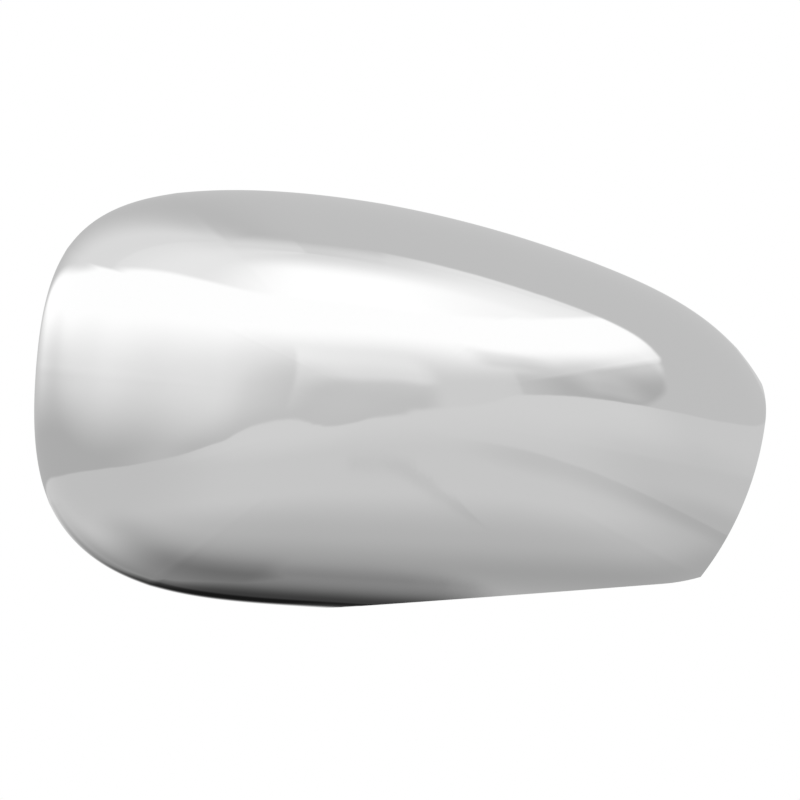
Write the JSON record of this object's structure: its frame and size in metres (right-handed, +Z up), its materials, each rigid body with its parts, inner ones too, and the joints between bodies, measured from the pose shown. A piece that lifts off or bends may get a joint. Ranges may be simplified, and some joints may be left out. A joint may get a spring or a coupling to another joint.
{
  "type": "wing mirror cover",
  "caption": "Chrome-plated wing mirror cover that clips onto the front of the mirror housing: a thin domed shell with a lipped rim, snap tongues, locating posts and a cut for the mirror arm.",
  "frame": {"origin": "middle of the rim plane, where the cover seats on the mirror housing", "axes": "+X inboard along the length, towards the nose and the arm cut; +Y back out of the rim, towards the mirror housing; +Z up"},
  "size_m": [0.2396, 0.07, 0.137],
  "materials": {
    "chrome_plate": "polished"
  },
  "bodies": {
    "root": {"mirror_cover": "chrome_plate"}
  },
  "joints": []
}
